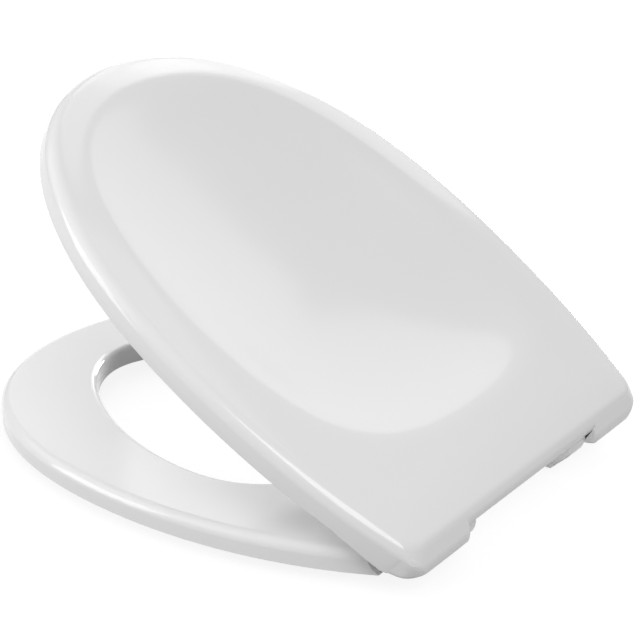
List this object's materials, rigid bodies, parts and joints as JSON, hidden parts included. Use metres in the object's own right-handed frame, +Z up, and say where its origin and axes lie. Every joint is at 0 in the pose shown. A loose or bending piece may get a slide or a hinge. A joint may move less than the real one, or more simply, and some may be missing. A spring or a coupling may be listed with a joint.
{
  "type": "toilet seat",
  "caption": "White toilet seat ring under a dished, skirted lid, both turning on hinge posts that bolt to the rear of the pan's rim.",
  "frame": {"origin": "midway between the hinge posts' bolt holes, on the pan's rim that the posts stand on", "axes": "+Y to the front of the seat, +Z up, +X to the right of a person sitting on it and facing forward"},
  "size_m": [0.372, 0.4494, 0.2687],
  "materials": {
    "seat_plastic": "gloss",
    "hinge_plastic": "gloss",
    "pin_steel": "brushed",
    "pad_rubber": "matt",
    "sleeve_plastic": "satin",
    "buffer_rubber": "matt"
  },
  "bodies": {
    "hinge_base": {"hinge_post_right": "hinge_plastic", "hinge_post_left": "hinge_plastic", "post_pad_right": "pad_rubber", "post_pad_left": "pad_rubber", "hinge_pin_right": "pin_steel", "hinge_pin_left": "pin_steel"},
    "lid": {"lid": "seat_plastic", "lid_sleeve_right": "sleeve_plastic", "lid_sleeve_left": "sleeve_plastic", "lid_buffer_front_right": "buffer_rubber", "lid_buffer_front_left": "buffer_rubber", "lid_buffer_rear_right": "buffer_rubber", "lid_buffer_rear_left": "buffer_rubber"},
    "seat": {"seat_ring": "seat_plastic", "seat_sleeve_right": "sleeve_plastic", "seat_sleeve_left": "sleeve_plastic", "seat_buffer_front_right": "buffer_rubber", "seat_buffer_front_left": "buffer_rubber", "seat_buffer_rear_right": "buffer_rubber", "seat_buffer_rear_left": "buffer_rubber"}
  },
  "joints": [
    {"name": "lid_hinge", "type": "hinge", "parent": "hinge_base", "child": "lid", "pos_m": [0, -0.028, 0.0245], "axis": [1, 0, 0], "range_deg": [-32, 73]},
    {"name": "seat_hinge", "type": "hinge", "parent": "lid", "child": "seat", "pos_m": [0, -0.028, 0.0245], "axis": [1, 0, 0], "range_deg": [-73, 32]}
  ]
}
